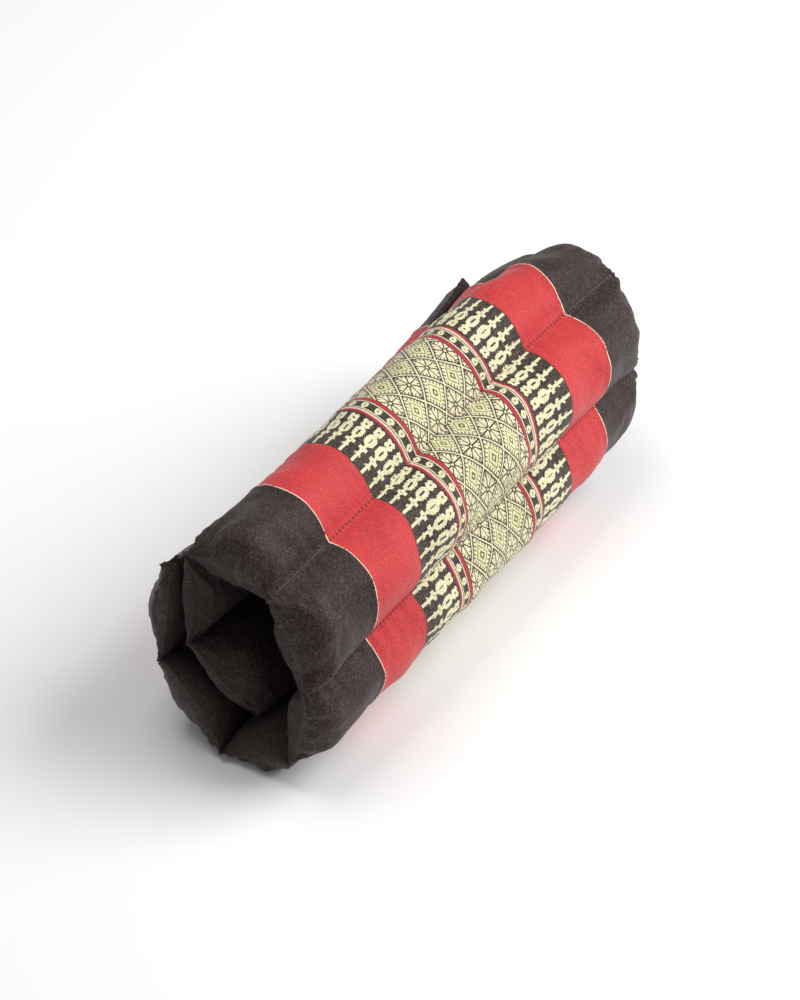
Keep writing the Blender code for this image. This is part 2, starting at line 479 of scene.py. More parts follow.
@dataclass(frozen=True)
class LatticeWeave:
    """The middle band: a net of rhombi that hold stepped diamonds and eight-petalled flowers.

    Lengths are in millimetres. A ring is a distance from a rhombus's middle towards the rope round it.
    """

    cell: float = 0.48
    across_repeat: float = 27.0
    along_repeat: float = 39.0
    half_cell: float = 11.1
    rope_width: float = 0.72
    tooth_pitch: float = 1.5
    tooth_gap: float = 0.46
    core_ring: float = 1.2
    inner_ring: tuple[float, float] = (2.3, 4.7)
    outer_ring: tuple[float, float] = (5.3, 6.8)
    comb_ring: tuple[float, float] = (6.6, 9.3)
    yellow_ring: float = 6.9
    leaf_ring: float = 7.3
    leaf_tips: float = 9.2
    half_petals: float = 4.0
    petal_gap: float = 1.95
    petal_reach: tuple[float, float] = (2.1, 11.6)
    heart: float = 1.1
    flower_squash: float = 0.8

    def rule(self, along: Wire, across: Wire) -> dict[str, Wire]:
        """Works out where cream yarn lies on top.

        Args:
            along: Distance along the mat.
            across: Distance from the middle line.

        Returns:
            The mask of cream yarn, and of the parts with a yellower yarn.
        """
        u = along.stepped(self.cell)
        v = across.stepped(self.cell)
        rise = v / self.across_repeat + u / self.along_repeat
        fall = v / self.across_repeat - u / self.along_repeat
        near_rise = rise.math("ROUND")
        near_fall = fall.math("ROUND")
        p = rise - near_rise
        q = fall - near_fall
        odd = (near_rise + near_fall).math("PINGPONG", 1.0)
        even = -odd + 1.0
        ring = abs(p).most(abs(q)) * (2 * self.half_cell)
        rope = ring.above(self.half_cell - self.rope_width)
        along_side = abs(p).least(abs(q)) * (2 * self.half_cell)
        teeth = along_side.math("PINGPONG", self.tooth_pitch).above(self.tooth_gap)
        diamonds = ring.below(self.core_ring).most(ring.between(*self.inner_ring))
        diamonds = diamonds.most(ring.between(*self.outer_ring)).most(ring.between(*self.comb_ring) * teeth)
        x = (p + q) * (self.across_repeat / 2)
        y = (p - q) * (self.along_repeat / 2 * self.flower_squash)
        radius = (x * x + y * y).root()
        lobe = abs((y.math("ARCTAN2", x) * self.half_petals).math("SINE"))
        gaps = (lobe * radius).above(self.petal_gap)
        leaves = ring.below(self.leaf_ring).most(ring.between(self.leaf_ring, self.leaf_tips) * teeth)
        petals = leaves * gaps * radius.between(*self.petal_reach)
        flower = petals.most(radius.below(self.heart))
        motif = diamonds * even + flower * odd
        return {"cream": rope.most(motif), "yellow": ring.below(self.yellow_ring) * even}


@dataclass(frozen=True)
class BorderWeave:
    """The narrow border lines beside the lattice, with a row of small open diamonds.

    Lengths are in millimetres, counted from the border's start.
    """

    start: float = 46.0
    cell: float = 0.9
    pitch: float = 13.2
    first_line: tuple[float, float] = (4.4, 5.5)
    second_line: tuple[float, float] = (12.9, 13.9)
    wide_line: tuple[float, float] = (14.6, 16.6)
    first_red: tuple[float, float] = (0.7, 3.8)
    second_red: tuple[float, float] = (16.6, 18.7)
    diamond_row: float = 9.2
    diamond_ring: tuple[float, float] = (1.0, 4.5)
    diamond_reach: float = 3.2

    def rule(self, along: Wire, across: Wire) -> dict[str, Wire]:
        """Works out where the border's yarns lie.

        Args:
            along: Distance along the mat.
            across: Distance from the middle line.

        Returns:
            The masks of cream, of red and of pinkish yarn.
        """
        from_start = abs(across) - self.start
        lines = from_start.between(*self.first_line).most(from_start.between(*self.second_line))
        wide_line = from_start.between(*self.wide_line)
        x = abs(along.stepped(self.cell).wrapped(self.pitch))
        y = abs(from_start.stepped(self.cell) - self.diamond_row)
        within = y.below(self.diamond_reach) * x.below(self.diamond_reach)
        diamond = (x + y).between(*self.diamond_ring) * within
        red = from_start.between(*self.first_red).most(from_start.between(*self.second_red))
        return {"cream": lines.most(diamond).most(wide_line), "red": red, "pink": wide_line}


@dataclass(frozen=True)
class ColumnWeave:
    """The band of motif columns: a small flower, a long oval with a slit and a cross on a stem.

    Lengths are in millimetres. X is the distance from a column's middle, and Y from the band's start.
    """

    start: float = 65.0
    cell: float = 0.92
    pitch: float = 13.2
    flower_middle: float = 6.4
    oval_middle: float = 18.6
    cross_middle: float = 30.6
    stem_ends: tuple[float, float] = (34.0, 46.8)
    leaf_foot: float = 37.0

    def flower(self, x: Wire, y: Wire) -> Wire:
        """Gives the small flower with four lobes between four arms.

        Args:
            x: Distance from the column's middle.
            y: Distance from the band's start.

        Returns:
            Its mask.
        """
        up = abs(y - self.flower_middle)
        lobes = x.between(1.2, 4.4) * up.between(1.2, 4.4) * (x + up).below(7.4)
        arms = (x.below(1.9) * up.below(3.9)).most(x.below(3.9) * up.below(1.9))
        return lobes.most(arms) * (x + up).above(1.4)

    def oval(self, x: Wire, y: Wire) -> Wire:
        """Gives the long oval with its slit and the teeth on its sides.

        Args:
            x: Distance from the column's middle.
            y: Distance from the band's start.

        Returns:
            Its mask.
        """
        up = abs(y - self.oval_middle)
        body = (x * 1.05 + (up - 4.0).most(0.0)).below(5.1)
        slit = x.below(0.75) * up.below(3.2)
        teeth = x.between(4.4, 5.6) * up.below(3.4) * up.math("PINGPONG", 1.4).above(0.7)
        return (body * (-slit + 1.0)).most(teeth)

    def cross(self, x: Wire, y: Wire) -> Wire:
        """Gives the cross with its open middle.

        Args:
            x: Distance from the column's middle.
            y: Distance from the band's start.

        Returns:
            Its mask.
        """
        up = abs(y - self.cross_middle)
        arms = (x.below(1.5) * up.below(4.6)).most(x.below(4.4) * up.below(1.7))
        return arms.most((x + up).below(4.2)) * (x + up).above(0.8)

    def stem(self, x: Wire, y: Wire) -> Wire:
        """Gives the stem under the cross, with its two leaves.

        Args:
            x: Distance from the column's middle.
            y: Distance from the band's start.

        Returns:
            Its mask.
        """
        line = x.below(1.35) * y.between(*self.stem_ends)
        leaves = (x - (y - self.leaf_foot)).between(0.2, 2.4) * x.below(3.0) * y.above(self.leaf_foot - 1.0)
        return line.most(leaves)

    def rule(self, along: Wire, across: Wire) -> dict[str, Wire]:
        """Works out where cream yarn lies on top.

        Args:
            along: Distance along the mat.
            across: Distance from the middle line.

        Returns:
            The mask of cream yarn.
        """
        x = abs(along.stepped(self.cell).wrapped(self.pitch))
        y = (abs(across) - self.start).stepped(self.cell)
        motif = self.flower(x, y).most(self.oval(x, y)).most(self.cross(x, y)).most(self.stem(x, y))
        return {"cream": motif}


@dataclass(frozen=True)
class ClothColours:
    """The cover's yarn colours, as linear red, green and blue."""

    charcoal: tuple[float, float, float] = (0.0210, 0.0128, 0.0118)
    ground: tuple[float, float, float] = (0.034, 0.026, 0.020)
    red: tuple[float, float, float] = (0.600, 0.040, 0.045)
    deep_red: tuple[float, float, float] = (0.500, 0.022, 0.050)
    cream: tuple[float, float, float] = (0.830, 0.770, 0.500)
    yellow: tuple[float, float, float] = (0.740, 0.720, 0.340)
    pink: tuple[float, float, float] = (0.800, 0.520, 0.420)
    piping: tuple[float, float, float] = (0.860, 0.720, 0.540)
    # Painted sheen: the thread on the plain charcoal cloth is given a lighter colour than the dark thread on
    # the pattern.
    sheen_painted_thread: tuple[float, float, float] = (0.340, 0.280, 0.260)
    dark_thread: tuple[float, float, float] = (0.240, 0.024, 0.028)


@dataclass
class Finish:
    """Common steps for making a cloth material."""

    name: str
    colours: ClothColours = field(default_factory=ClothColours)

    def start(self) -> tuple[bpy.types.Material, bpy.types.NodeTree, bpy.types.Node]:
        """Makes an empty Principled material.

        Returns:
            The material, its node tree and its shader.
        """
        material = bpy.data.materials.new(self.name)
        material.use_nodes = True
        tree = material.node_tree
        return material, tree, tree.nodes["Principled BSDF"]

    @staticmethod
    def cloth_place(tree: bpy.types.NodeTree, layer: str = CLOTH_UV) -> tuple[Wire, Wire]:
        """Reads the cloth's own coordinates.

        Args:
            tree: The material's node tree.
            layer: The layer to read: along the mat, or from its nearest sewn line.

        Returns:
            The distances along or from a sewn line, and across the mat, in millimetres.
        """
        uv = tree.nodes.new("ShaderNodeUVMap")
        uv.uv_map = layer
        split = tree.nodes.new("ShaderNodeSeparateXYZ")
        tree.links.new(uv.outputs[0], split.inputs[0])
        return Wire(tree, split.outputs[0]) * 1000.0, Wire(tree, split.outputs[1]) * 1000.0

    @staticmethod
    def mix(tree: bpy.types.NodeTree, share: Wire, first: object, second: object) -> bpy.types.NodeSocket:
        """Mixes two colours.

        Args:
            tree: The material's node tree.
            share: How much of the second colour shows.
            first: A colour or a colour socket.
            second: A colour or a colour socket.

        Returns:
            The mixed colour's socket.
        """
        node = tree.nodes.new("ShaderNodeMix")
        node.data_type = "RGBA"
        tree.links.new(share.socket, node.inputs[0])
        for slot, value in ((node.inputs[6], first), (node.inputs[7], second)):
            if isinstance(value, bpy.types.NodeSocket):
                tree.links.new(value, slot)
            else:
                slot.default_value = (*value, 1.0)
        return node.outputs[2]

    @staticmethod
    def plain_colour(tree: bpy.types.NodeTree, colour: tuple[float, float, float]) -> bpy.types.NodeSocket:
        """Adds a constant colour.

        Args:
            tree: The material's node tree.
            colour: The colour.

        Returns:
            The colour's socket.
        """
        node = tree.nodes.new("ShaderNodeRGB")
        node.outputs[0].default_value = (*colour, 1.0)
        return node.outputs[0]

    @staticmethod
    def noise(tree: bpy.types.NodeTree, scale: float, detail: float) -> Wire:
        """Adds soft noise that is fixed to the object.

        Args:
            tree: The material's node tree.
            scale: How fine it is.
            detail: How many finer layers it has.

        Returns:
            Its value, around 0.5.
        """
        place = tree.nodes.new("ShaderNodeTexCoord")
        node = tree.nodes.new("ShaderNodeTexNoise")
        node.inputs["Scale"].default_value = scale
        node.inputs["Detail"].default_value = detail
        tree.links.new(place.outputs["Object"], node.inputs["Vector"])
        return Wire(tree, node.outputs["Fac"])

    @staticmethod
    def shaded(tree: bpy.types.NodeTree, colour: bpy.types.NodeSocket, factor: Wire) -> bpy.types.NodeSocket:
        """Scales a colour's lightness by a factor.

        Args:
            tree: The material's node tree.
            colour: The colour's socket.
            factor: What it is multiplied by.

        Returns:
            The scaled colour's socket.
        """
        node = tree.nodes.new("ShaderNodeVectorMath")
        node.operation = "SCALE"
        tree.links.new(colour, node.inputs[0])
        tree.links.new(factor.socket, node.inputs["Scale"])
        return node.outputs[0]

    @staticmethod
    def bump(tree: bpy.types.NodeTree, shader: bpy.types.Node, height: Wire, distance: float) -> None:
        """Gives the shader a bump.

        Args:
            tree: The material's node tree.
            shader: The shader that it goes to.
            height: The relief, from 0 to 1.
            distance: The relief's depth in metres.
        """
        node = tree.nodes.new("ShaderNodeBump")
        node.inputs["Strength"].default_value = RELIEF_STRENGTH
        node.inputs["Distance"].default_value = distance
        tree.links.new(height.socket, node.inputs["Height"])
        tree.links.new(node.outputs[0], shader.inputs["Normal"])

    def sheen(self, shader: bpy.types.Node, weight: float, roughness: float) -> None:
        """Sets the soft rim light of cotton fibres and the cloth's dull gloss.

        Args:
            shader: The shader that it is set on.
            weight: How strong the rim light is.
            roughness: How dull the cloth is.
        """
        shader.inputs["Roughness"].default_value = roughness
        shader.inputs["Sheen Weight"].default_value = weight
        shader.inputs["Sheen Roughness"].default_value = FIBRE_ROUGHNESS
        shader.inputs["Specular IOR Level"].default_value = GLOSS
        shader.inputs["Specular Tint"].default_value = GLOSS_TINT


@dataclass
class WovenFinish(Finish):
    """Common steps for the mat's two woven cloths. Thread and rib sizes are in millimetres."""

    thread_size: float = 0.85
    fleck_scale: float = 820.0
    fleck_detail: float = 2.0
    fleck_contrast: float = 7.0
    fleck_share: float = 0.25
    salt_share: float = 1.6
    rib_pitch: float = 1.1
    rib_height: float = 0.3
    pick_pitch: float = 0.75
    pick_height: float = 0.2
    blotch_scale: float = 14.0
    blotch_detail: float = 3.0
    blotch_share: float = 0.20
    weave_share: float = 0.12
    pleat_reach: float = 7.0
    hole_length: float = 0.62
    hole_width: float = 1.2
    weave_relief: float = 0.22
    grain_relief: float = 0.5
    relief_depth: float = 0.0006
    rim_light: float = 0.10
    roughness: float = 0.56

    def flecks(self, tree: bpy.types.NodeTree) -> Wire:
        """Gives soft flecks of lighter and darker yarn, from 0 to 1."""
        noise = self.noise(tree, self.fleck_scale, self.fleck_detail) - 0.5
        return (noise * self.fleck_contrast + 0.5).most(0.0).least(1.0)

    def salt(self, along: Wire, across: Wire) -> Wire:
        """Gives single light threads among dark ones.

        Args:
            along: Distance along the mat.
            across: Distance from the mat's middle line.

        Returns:
            A value from 0 to 1 for each thread crossing, mostly low.
        """
        tree = along.tree
        place = tree.nodes.new("ShaderNodeCombineXYZ")
        tree.links.new((along / self.thread_size).math("FLOOR").socket, place.inputs[0])
        tree.links.new((across / self.thread_size).math("FLOOR").socket, place.inputs[1])
        chance = tree.nodes.new("ShaderNodeTexWhiteNoise")
        chance.noise_dimensions = "2D"
        tree.links.new(place.outputs[0], chance.inputs["Vector"])
        value = Wire(tree, chance.outputs["Value"])
        return value * value * value

    def grain(self, along: Wire, across: Wire) -> Wire:
        """Gives the cloth's speckle: soft flecks with single light threads among them."""
        return self.flecks(along.tree) * self.fleck_share + self.salt(along, across) * self.salt_share

    def twill(self, along: Wire, across: Wire) -> Wire:
        """Gives the relief of a fine twill, with its ribs aslant.

        Args:
            along: Distance along the mat.
            across: Distance from the mat's middle line.

        Returns:
            The relief, from 0 to 1.
        """
        rib = ((along + across) * (math.tau / self.rib_pitch)).math("SINE")
        pick = (along * (math.tau / self.pick_pitch)).math("SINE")
        return rib * self.rib_height + pick * self.pick_height + 0.5

    def dimples(self, tree: bpy.types.NodeTree) -> tuple[Wire, Wire]:
        """Works out where the stitches pull the cloth in.

        Args:
            tree: The material's node tree.

        Returns:
            The depth of the small pleats beside the sewn lines, and the needle holes, from 0 to 1.
        """
        from_seam, across = self.cloth_place(tree, SEAM_UV)
        turn = (across + STITCH_START) * (math.tau / STITCH_PITCH)
        gap = turn.math("COSINE") * -0.5 + 0.5
        reach = (-from_seam / self.pleat_reach + 1.0).most(0.0)
        holes = gap.above(self.hole_length) * from_seam.below(self.hole_width)
        return gap * reach * reach, holes


@dataclass
class CoverFinish(WovenFinish):
    """The mat's upper cloth: patterned middle, red stripes and plain charcoal ends.

    Starts are distances from the middle line in millimetres. Lights are factors on a yarn's colour.
    """

    name: str = "woven_cover"
    red_start: float = 113.1
    panel_start: float = 174.2
    yellow_share: float = 0.55
    pink_share: float = 0.6
    pale_light: float = 0.60
    dark_light_drop: float = 0.66
    pale_grain: float = 0.34
    dark_grain_rise: float = 2.10
    hole_shade: float = 0.40
    plain_hole_relief: float = 0.25
    pleat_shade: float = 0.30
    yarn_relief: float = 0.75
    pleat_relief: float = 1.6

    def make(self) -> bpy.types.Material:
        """Makes the material.

        Returns:
            The material.
        """
        material, tree, shader = self.start()
        along, across = self.cloth_place(tree)
        lattice, border, column = LatticeWeave(), BorderWeave(), ColumnWeave()
        net = Pattern("lattice_weave", ("cream", "yellow"), lattice.rule).use(along, across)
        lines = Pattern("border_weave", ("cream", "red", "pink"), border.rule).use(along, across)
        motifs = Pattern("column_weave", ("cream",), column.rule).use(along, across)
        away = abs(across)
        in_net = away.below(border.start)
        in_border = away.between(border.start, column.start)
        in_motifs = away.between(column.start, self.red_start)
        in_red = away.between(self.red_start, self.panel_start)
        plain = away.above(self.panel_start)
        cream = in_net * net["cream"] + in_border * lines["cream"] + in_motifs * motifs["cream"]
        red = in_border * lines["red"]
        yellow = net["yellow"] * in_net * self.yellow_share
        pink = in_border * lines["pink"] * self.pink_share
        yarn = self.mix(tree, yellow, self.colours.cream, self.colours.yellow)
        yarn = self.mix(tree, pink, yarn, self.colours.pink)
        colour = self.mix(tree, cream, self.colours.ground, yarn)
        colour = self.mix(tree, red, colour, self.colours.deep_red)
        colour = self.mix(tree, in_red, colour, self.colours.red)
        colour = self.mix(tree, plain, colour, self.colours.charcoal)
        weave = self.twill(along, across)
        grain = self.grain(along, across)
        blotch = self.noise(tree, self.blotch_scale, self.blotch_detail)
        pleats, holes = self.dimples(tree)
        raised = (cream + red).least(1.0)
        dark = (-raised + 1.0) * (-in_red + 1.0)
        light = grain * (dark * self.dark_grain_rise + self.pale_grain) + blotch * self.blotch_share
        light = light + weave * self.weave_share + (dark * -self.dark_light_drop + self.pale_light)
        light = light * (holes * (plain * self.plain_hole_relief - self.hole_shade) + 1.0)
        light = light * (pleats * -self.pleat_shade + 1.0)
        tree.links.new(self.shaded(tree, colour, light), shader.inputs["Base Color"])
        relief = raised * self.yarn_relief + weave * self.weave_relief + grain * self.grain_relief
        self.bump(tree, shader, relief - pleats * self.pleat_relief, self.relief_depth)
        self.sheen(shader, self.rim_light, self.roughness)
        return material


@dataclass
class BackFinish(WovenFinish):
    """The plain charcoal cotton of the mat's back. Lights are factors on its colour."""

    name: str = "charcoal_back"
    grain_light: float = 1.85
    least_light: float = 0.03
    blotch_scale: float = 16.0
    weave_relief: float = 0.5
    relief_depth: float = 0.0004
    rim_light: float = 0.04
    roughness: float = 0.62

    def make(self) -> bpy.types.Material:
        """Makes the material.

        Returns:
            The material.
        """
        material, tree, shader = self.start()
        along, across = self.cloth_place(tree)
        weave = self.twill(along, across)
        grain = self.grain(along, across)
        blotch = self.noise(tree, self.blotch_scale, self.blotch_detail)
        base = self.plain_colour(tree, self.colours.charcoal)
        light = grain * self.grain_light + blotch * self.blotch_share + weave * self.weave_share
        light = light + self.least_light
        tree.links.new(self.shaded(tree, base, light), shader.inputs["Base Color"])
        relief = weave * self.weave_relief + grain * self.grain_relief
        self.bump(tree, shader, relief, self.relief_depth)
        self.sheen(shader, self.rim_light, self.roughness)
        return material


@dataclass
class PlainFinish(Finish):
    """A yarn or tape of one colour with its own fine grain."""

    colour: tuple[float, float, float] = (0.5, 0.5, 0.5)
    roughness: float = 0.8
    grain_scale: float = 1100.0
    grain_detail: float = 2.0
    grain_light: float = 0.5
    least_light: float = 0.75
    relief_depth: float = 0.0002
    rim_light: float = 0.1

    def make(self) -> bpy.types.Material:
        """Makes the material.

        Returns:
            The material.
        """
        material, tree, shader = self.start()
        fleck = self.noise(tree, self.grain_scale, self.grain_detail)
        base = self.plain_colour(tree, self.colour)
        light = fleck * self.grain_light + self.least_light
        tree.links.new(self.shaded(tree, base, light), shader.inputs["Base Color"])
        self.bump(tree, shader, fleck, self.relief_depth)
        self.sheen(shader, self.rim_light, self.roughness)
        return material


def new_object(name: str, points: np.ndarray, faces: Sequence[Sequence[int]]) -> bpy.types.Object:
    """Makes a mesh object from points and faces.

    Args:
        name: The object's name.
        points: The points, one in each row.
        faces: Point numbers of each face.

    Returns:
        The new object, shaded smooth.
    """
    mesh = bpy.data.meshes.new(name)
    mesh.from_pydata(points.tolist(), [], [tuple(int(corner) for corner in face) for face in faces])
    mesh.shade_smooth()
    thing = bpy.data.objects.new(name, mesh)
    bpy.context.scene.collection.objects.link(thing)
    return thing


def grid_normals(grid: np.ndarray, side: Side) -> np.ndarray:
    """Gives unit normals of a grid of points.

    Args:
        grid: Rows of points, near end last.
        side: Which face of the mat the grid is.

    Returns:
        A normal for each point, away from the filling.
    """
    across = np.gradient(grid, axis=0)
    along = np.gradient(grid, axis=1)
    normal = np.cross(across, along) * side.value
    return normal / np.maximum(np.linalg.norm(normal, axis=2, keepdims=True), 1e-12)


def spline_taps(count: int, target: int) -> tuple[np.ndarray, np.ndarray]:
    """Gives the rows and weights that spread a line of values smoothly over more places.

    Args:
        count: How many values there are.
        target: How many places are wanted.

    Returns:
        Four row numbers and four weights for each place.
    """
    places = np.linspace(0, count - 1, target)
    base = np.minimum(places.astype(int), count - 2)
    t = (places - base)[:, None]
    weights = np.hstack([
        -0.5 * t ** 3 + t ** 2 - 0.5 * t,
        1.5 * t ** 3 - 2.5 * t ** 2 + 1,
        -1.5 * t ** 3 + 2 * t ** 2 + 0.5 * t,
        0.5 * t ** 3 - 0.5 * t ** 2,
    ])
    rows = np.clip(base[:, None] + np.arange(-1, 3)[None, :], 0, count - 1)
    return rows, weights


def refined(moves: np.ndarray, rows: int, columns: int) -> np.ndarray:
    """Spreads a coarse grid of moves smoothly over a finer grid.

    Args:
        moves: The coarse grid of moves.
        rows: The finer grid's rows.
        columns: The finer grid's columns.

    Returns:
        The finer grid of moves.
    """
    taps, weights = spline_taps(moves.shape[0], rows)
    tall = np.einsum("rk,rkcd->rcd", weights, moves[taps])
    taps, weights = spline_taps(moves.shape[1], columns)
    return np.einsum("ck,rckd->rcd", weights, tall[:, taps])


@dataclass
class MatCover:
    """The mat's cover: both faces of cloth with their puckers, gathers and folds."""

    shape: RollShape
    station_count: int = 226
    channel_steps: int = 25
    even_part: float = 0.45
    bunched_part: float = 0.55
    outer_seed: int = 10
    inner_seed: int = 50
    pucker_depth: float = 0.0009
    pucker_reach: float = 0.011
    pucker_start: float = 0.0025
    pucker_drift: float = 1.2
    left_pucker_wave: float = 0.011
    right_pucker_wave: float = 0.010
    strength_wave: float = 0.09
    mean_strength: float = 0.65
    strength_change: float = 0.35
    rim_boost: float = 1.2
    rim_boost_reach: float = 0.035
    gather_depth: float = 0.0013
    gather_reach: float = 0.024
    gather_start: float = 0.004
    gather_drift: float = 2.2
    gather_wave: float = 0.017
    rim_bow: float = 0.0020
    rim_bow_reach: float = 0.016
    tuft_length: float = 0.0030
    tuft_width: float = 0.0055
    near_tufts: tuple[float, ...] = (0.0, 1.3, 1.0, 0.15, 1.6, 1.3, 0.9, 0.8, 0.0)
    far_tufts: tuple[float, ...] = (0.0, 0.9, 0.9, 0.9, 0.7, 0.7, 0.7, 0.7, 0.0)
    near_corner_round: float = 0.022
    near_corner_pull: float = 0.016
    far_corner_round: float = 0.009
    far_corner_pull: float = 0.006
    corner_reach: float = 0.030
    fan_depth: float = 0.0019
    fan_reach: float = 0.026
    fan_start: float = 0.005
    fan_turn: float = 0.52
    fan_spread: float = 0.35
    fan_drift: float = 40.0
    middle_share: float = 0.80
    rim_bulge: float = 0.026
    rim_steps: int = 1201
    lump_height: float = 0.0012
    lump_wave: float = 0.075
    lump_drift: float = 90.0
    groove_depth: float = 0.0011
    groove_width: float = 0.0022
    piping_place: float = 0.1742
    floor_blend: float = 0.0006
    inner_share: float = 0.55
    covered_share: float = 0.35
    outer_covered_from: float = 6.05
    inner_covered_to: float = 3.0
    inner_covered_from: float = 7.9
    edge_calm_reach: float = 0.004
    least_edge_share: float = 0.1
    rim_calm_reach: float = 0.009
    least_rim_share: float = 0.12
    fold_root_width: float = 0.45
    fold_widening: float = 0.9
    moves: dict[Side, np.ndarray] = field(default_factory=dict)

    def stations(self) -> np.ndarray:
        """Gives the stations: even in the middle, then closer together where the ends round off.

        Returns:
            Distances across the mat from its middle, near end last.
        """
        even = np.linspace(-1, 1, self.station_count)
        closing = self.shape.end_closing
        into_end = np.clip((np.abs(even) - self.middle_share) / (1 - self.middle_share), 0, 1)
        inner = np.minimum(np.abs(even) / self.middle_share, 1) * (self.shape.half - closing)
        return np.sign(even) * (inner + closing * np.sin(into_end * math.pi / 2))

    def rim_distances(self, stations: np.ndarray) -> np.ndarray:
        """Gives how far each station lies from the nearer sewn end, measured over the puffed cloth.

        Args:
            stations: Distances across the mat from its middle.

        Returns:
            A distance for each station.
        """
        fine = np.linspace(0, self.shape.half, self.rim_steps)
        bulge = self.shape.fullness(fine, self.shape.end_closing) * self.rim_bulge
        steps = np.hypot(np.diff(fine), np.diff(bulge))
        lengths = np.concatenate([[0.0], np.cumsum(steps)])
        return lengths[-1] - np.interp(np.abs(stations), fine, lengths)

    def shares(self) -> list[float]:
        """Gives the shares of each chord, closer together towards its seams.

        Returns:
            The shares, from 0 to 1.
        """
        even = np.linspace(0, 1, self.channel_steps + 1)
        bunched = (1 - np.cos(math.pi * even)) / 2
        return [float(share) for share in (even * self.even_part + bunched * self.bunched_part)]

    @staticmethod
    def arc_lengths(grid: np.ndarray) -> np.ndarray:
        """Gives how far along the mat each column lies, from its middle section.

        Args:
            grid: Rows of points, near end last.

        Returns:
            A distance for each column.
        """
        middle = grid[grid.shape[0] // 2]
        steps = np.linalg.norm(np.diff(middle[:, 1:], axis=0), axis=1)
        return np.concatenate([[0.0], np.cumsum(steps)])

    def seam_columns(self) -> np.ndarray:
        """Gives the grid columns that lie on sewn lines and free edges."""
        return np.arange(len(self.shape.seams)) * self.channel_steps

    def seed(self, side: Side) -> int:
        """Gives the first seed of a face's ripples."""
        return self.outer_seed if side is Side.OUTER else self.inner_seed

    def puckers(self, stations: np.ndarray, arcs: np.ndarray, side: Side) -> np.ndarray:
        """Gives the small puckers that the stitching draws into the cloth beside each sewn line.

        Args:
            stations: The grid's stations.
            arcs: The distance of each column along the mat.
            side: Which face of the mat.

        Returns:
            Their height at each point of the grid.
        """
        seed = self.seed(side)
        s = stations[:, None]
        height = np.zeros((len(stations), len(arcs)))
        rim_distance = self.rim_distances(stations)[:, None]
        boost = 1 + self.rim_boost * np.exp(-rim_distance / self.rim_boost_reach)
        for number, column in enumerate(self.seam_columns()):
            from_seam = np.abs(arcs - arcs[column])[None, :]
            before = (arcs < arcs[column])[None, :]
            drift = self.pucker_drift * from_seam / self.pucker_reach
            left = Ripple(seed + number, self.left_pucker_wave).at(s, drift)
            right = Ripple(seed + 20 + number, self.right_pucker_wave).at(s, drift)
            change = self.strength_change * Ripple(seed + 30 + number, self.strength_wave).at(s)
            strength = self.mean_strength + change
            fade = np.exp(-from_seam / self.pucker_reach) * np.minimum(from_seam / self.pucker_start, 1)
            height += np.where(before, left, right) * fade * strength * boost * self.pucker_depth
        return height

    def gathers(self, stations: np.ndarray, arcs: np.ndarray, side: Side, end: End) -> np.ndarray:
        """Gives the gathers along one sewn end, and their fans where the channel lines meet it.

        Args:
            stations: The grid's stations.
            arcs: The distance of each column along the mat.
            side: Which face of the mat.
            end: Which end of the roll.

        Returns:
            Their height at each point of the grid.
        """
        seed = self.seed(side) + end.value
        at_end = stations[:, None] * end.value > 0
        from_end = np.where(at_end, self.rim_distances(stations)[:, None], self.shape.half)
        fade = np.exp(-np.maximum(from_end - self.gather_start, 0) / self.gather_reach)
        drift = self.gather_drift * from_end / self.gather_reach
        height = Ripple(seed + 60, self.gather_wave).at(arcs[None, :], drift) * fade * self.gather_depth
        for number, column in enumerate(self.seam_columns()):
            aside = (arcs - arcs[column])[None, :]
            radius = np.hypot(aside, from_end)
            turn = np.arctan2(from_end, aside)
            ripple = Ripple(seed + 80 + 10 * number, self.fan_turn, self.fan_spread)
            fan = ripple.at(turn, self.fan_drift * radius)
            strength = np.exp(-(radius / self.fan_reach) ** 1.5) * np.minimum(radius / self.fan_start, 1)
            height += fan * strength * self.fan_depth
        return height

    def relief(self, stations: np.ndarray, arcs: np.ndarray, side: Side) -> np.ndarray:
        """Works out how far each point stands off the smooth form.

        Args:
            stations: The grid's stations.
            arcs: The distance of each column along the mat.
            side: Which face of the mat.

        Returns:
            A height for each point of the grid.
        """
        s = stations[:, None]
        height = self.puckers(stations, arcs, side)
        for end in End:
            height += self.gathers(stations, arcs, side, end)
        lumps = Ripple(self.seed(side) + 70, self.lump_wave).at(s, self.lump_drift * arcs[None, :])
        inside = np.abs(np.sin(math.pi * self.channel_place(arcs)))[None, :]
        height += lumps * inside * self.lump_height
        for fold in FOLDS:
            if fold.side is side:
                height += self.fold(fold, s, arcs)
        return height

    def to_seam(self, arcs: np.ndarray) -> np.ndarray:
        """Gives each column's distance from the nearest sewn line or free edge."""
        lines = arcs[self.seam_columns()]
        return np.abs(arcs[:, None] - lines[None, :]).min(axis=1)

